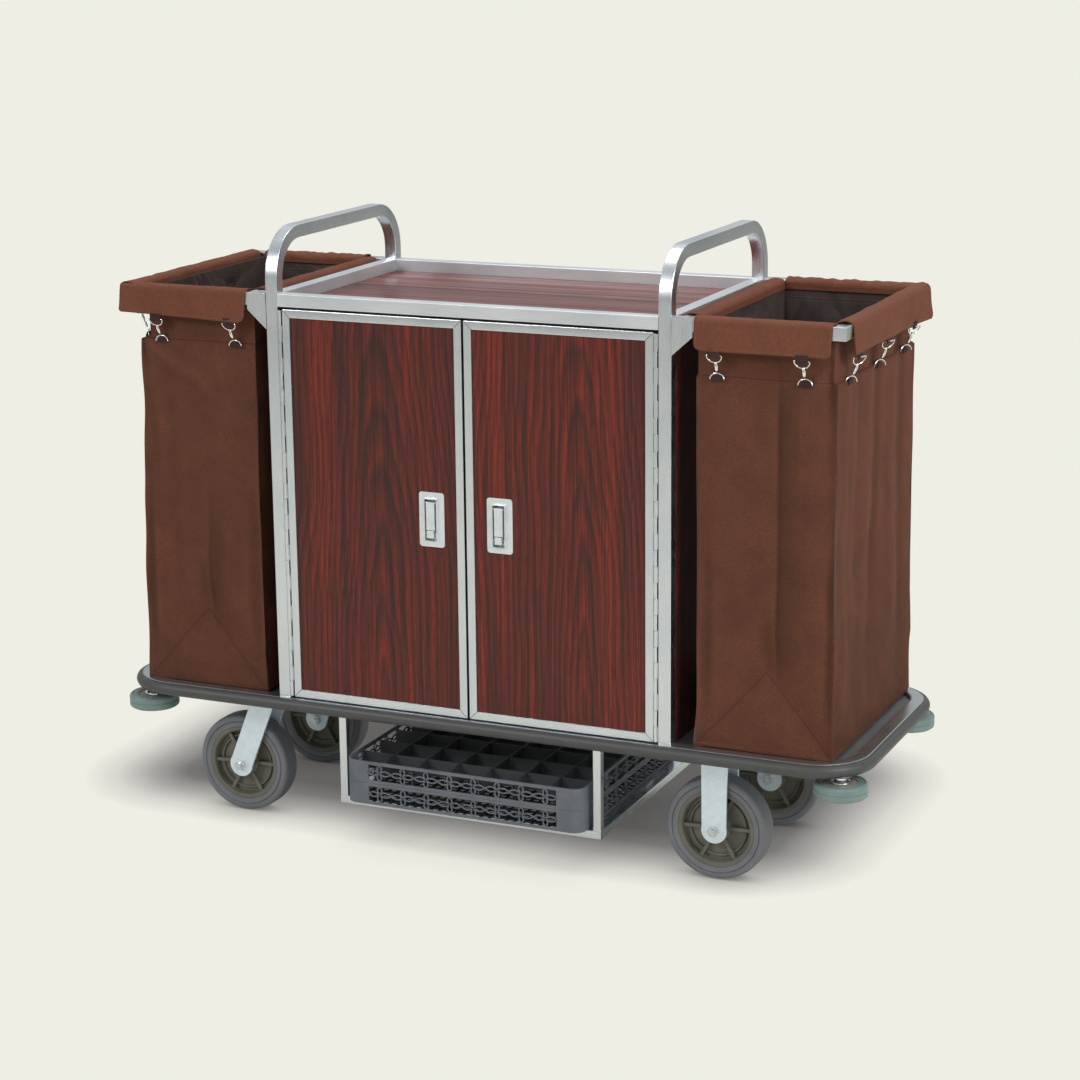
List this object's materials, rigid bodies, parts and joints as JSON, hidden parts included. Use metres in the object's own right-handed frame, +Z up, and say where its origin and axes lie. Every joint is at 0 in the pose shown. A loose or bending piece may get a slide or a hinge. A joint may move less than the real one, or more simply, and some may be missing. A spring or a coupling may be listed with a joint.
{
  "type": "housekeeping cart",
  "caption": "Hotel housekeeping cart: two-door laminate cabinet in a steel tube frame on a rubber-edged deck, laundry bag at each end, glass rack below, casters and corner rollers.",
  "frame": {"origin": "on the floor, under the middle of the deck", "axes": "+X along the cart towards its fixed casters, +Y away from the doors, +Z up"},
  "size_m": [1.552, 0.558, 1.195],
  "materials": {
    "brushed_steel": "brushed stainless steel",
    "bumper_rubber": "matt, smooth dark grey rubber",
    "mahogany_laminate": "dark red mahogany laminate with black streaks, satin",
    "brown_cloth": "plain-woven brown polyester cloth, matt",
    "chrome": "bright plated",
    "latch_metal": "satin plated",
    "rack_plastic": "moulded grey polypropylene",
    "zinc": "bright zinc plating, slightly blue",
    "hub_plastic": "olive-brown moulded nylon",
    "wheel_rubber": "grey thermoplastic rubber",
    "roller_rubber": "grey-green rubber"
  },
  "bodies": {
    "cart": {"deck_frame": "brushed_steel", "deck_tray": "brushed_steel", "deck_bumper": "bumper_rubber", "left_handle_frame": "brushed_steel", "right_handle_frame": "brushed_steel", "top_rails": "brushed_steel", "top_panel": "mahogany_laminate", "left_side_panel": "mahogany_laminate", "right_side_panel": "mahogany_laminate", "back_panel": "mahogany_laminate", "shelf": "mahogany_laminate", "shelf_rails": "brushed_steel", "left_bag_frame": "brushed_steel", "right_bag_frame": "brushed_steel", "left_bag": "brown_cloth", "right_bag": "brown_cloth", "left_bag_clips": "chrome", "right_bag_clips": "chrome", "fixed_hinge_leaves": "brushed_steel", "hinge_pins": "brushed_steel", "rack_carrier": "brushed_steel", "swivel_plates": "zinc", "rigid_forks": "zinc", "rigid_axles": "zinc", "roller_bolts": "chrome", "caster_bolts": "zinc"},
    "left_door": {"left_door_frame": "brushed_steel", "left_door_panel": "mahogany_laminate", "left_latch_plate": "latch_metal", "left_hinge_leaf": "brushed_steel"},
    "left_lever": {"left_latch_lever": "latch_metal"},
    "left_button": {"left_latch_button": "latch_metal"},
    "left_bolt": {"left_latch_bolt": "zinc"},
    "right_door": {"right_door_frame": "brushed_steel", "right_door_panel": "mahogany_laminate", "right_latch_plate": "latch_metal", "right_hinge_leaf": "brushed_steel"},
    "right_lever": {"right_latch_lever": "latch_metal"},
    "right_button": {"right_latch_button": "latch_metal"},
    "right_bolt": {"right_latch_bolt": "zinc"},
    "rack": {"rack_base": "rack_plastic", "rack_extender": "rack_plastic"},
    "front_left_swivel": {"front_left_fork": "zinc", "front_left_axle": "zinc"},
    "rear_left_swivel": {"rear_left_fork": "zinc", "rear_left_axle": "zinc"},
    "front_left_wheel": {"front_left_hub": "hub_plastic", "front_left_tread": "wheel_rubber"},
    "front_left_roller": {"front_left_roller": "roller_rubber"},
    "rear_left_wheel": {"rear_left_hub": "hub_plastic", "rear_left_tread": "wheel_rubber"},
    "rear_left_roller": {"rear_left_roller": "roller_rubber"},
    "front_right_wheel": {"front_right_hub": "hub_plastic", "front_right_tread": "wheel_rubber"},
    "front_right_roller": {"front_right_roller": "roller_rubber"},
    "rear_right_wheel": {"rear_right_hub": "hub_plastic", "rear_right_tread": "wheel_rubber"},
    "rear_right_roller": {"rear_right_roller": "roller_rubber"}
  },
  "joints": [
    {"name": "left_door_hinge", "type": "hinge", "parent": "cart", "child": "left_door", "pos_m": [-0.3805, -0.261, 0.664], "axis": [0, 0, -1], "range_deg": [0, 165]},
    {"name": "left_lever_pivot", "type": "hinge", "parent": "left_door", "child": "left_lever", "pos_m": [-0.07, -0.26, 0.697], "axis": [-1, 0, 0], "range_deg": [0, 60]},
    {"name": "left_button_push", "type": "slide", "parent": "left_door", "child": "left_button", "axis": [0, 1, 0], "range_m": [0, 0.003]},
    {"name": "left_bolt_slide", "type": "slide", "parent": "left_door", "child": "left_bolt", "axis": [-1, 0, 0], "range_m": [0, 0.0085]},
    {"name": "right_door_hinge", "type": "hinge", "parent": "cart", "child": "right_door", "pos_m": [0.3805, -0.261, 0.664], "axis": [0, 0, 1], "range_deg": [0, 165]},
    {"name": "right_lever_pivot", "type": "hinge", "parent": "right_door", "child": "right_lever", "pos_m": [0.07, -0.26, 0.697], "axis": [-1, 0, 0], "range_deg": [0, 60]},
    {"name": "right_button_push", "type": "slide", "parent": "right_door", "child": "right_button", "axis": [0, 1, 0], "range_m": [0, 0.003]},
    {"name": "right_bolt_slide", "type": "slide", "parent": "right_door", "child": "right_bolt", "axis": [1, 0, 0], "range_m": [0, 0.0085]},
    {"name": "rack_slide", "type": "slide", "parent": "cart", "child": "rack", "axis": [0, -1, 0], "range_m": [0, 0.43]},
    {"name": "front_left_caster_swivel", "type": "hinge", "parent": "cart", "child": "front_left_swivel", "pos_m": [-0.492, -0.158, 0.235], "axis": [0, 0, 1], "continuous": true},
    {"name": "front_left_wheel_spin", "type": "hinge", "parent": "front_left_swivel", "child": "front_left_wheel", "pos_m": [-0.544, -0.158, 0.1], "axis": [0, 1, 0], "continuous": true},
    {"name": "rear_left_caster_swivel", "type": "hinge", "parent": "cart", "child": "rear_left_swivel", "pos_m": [-0.492, 0.158, 0.235], "axis": [0, 0, 1], "continuous": true},
    {"name": "rear_left_wheel_spin", "type": "hinge", "parent": "rear_left_swivel", "child": "rear_left_wheel", "pos_m": [-0.544, 0.158, 0.1], "axis": [0, 1, 0], "continuous": true},
    {"name": "front_right_wheel_spin", "type": "hinge", "parent": "cart", "child": "front_right_wheel", "pos_m": [0.47, -0.158, 0.1], "axis": [0, 1, 0], "continuous": true},
    {"name": "rear_right_wheel_spin", "type": "hinge", "parent": "cart", "child": "rear_right_wheel", "pos_m": [0.47, 0.158, 0.1], "axis": [0, 1, 0], "continuous": true},
    {"name": "front_left_roller_spin", "type": "hinge", "parent": "cart", "child": "front_left_roller", "pos_m": [-0.724, -0.218, 0.2265], "axis": [0, 0, 1], "continuous": true},
    {"name": "rear_left_roller_spin", "type": "hinge", "parent": "cart", "child": "rear_left_roller", "pos_m": [-0.724, 0.218, 0.2265], "axis": [0, 0, 1], "continuous": true},
    {"name": "front_right_roller_spin", "type": "hinge", "parent": "cart", "child": "front_right_roller", "pos_m": [0.724, -0.218, 0.2265], "axis": [0, 0, 1], "continuous": true},
    {"name": "rear_right_roller_spin", "type": "hinge", "parent": "cart", "child": "rear_right_roller", "pos_m": [0.724, 0.218, 0.2265], "axis": [0, 0, 1], "continuous": true}
  ],
  "couplings": [
    {"joint": "left_bolt_slide", "follows": "left_lever_pivot", "m_per_rad": 0.0075},
    {"joint": "right_bolt_slide", "follows": "right_lever_pivot", "m_per_rad": 0.0075}
  ]
}
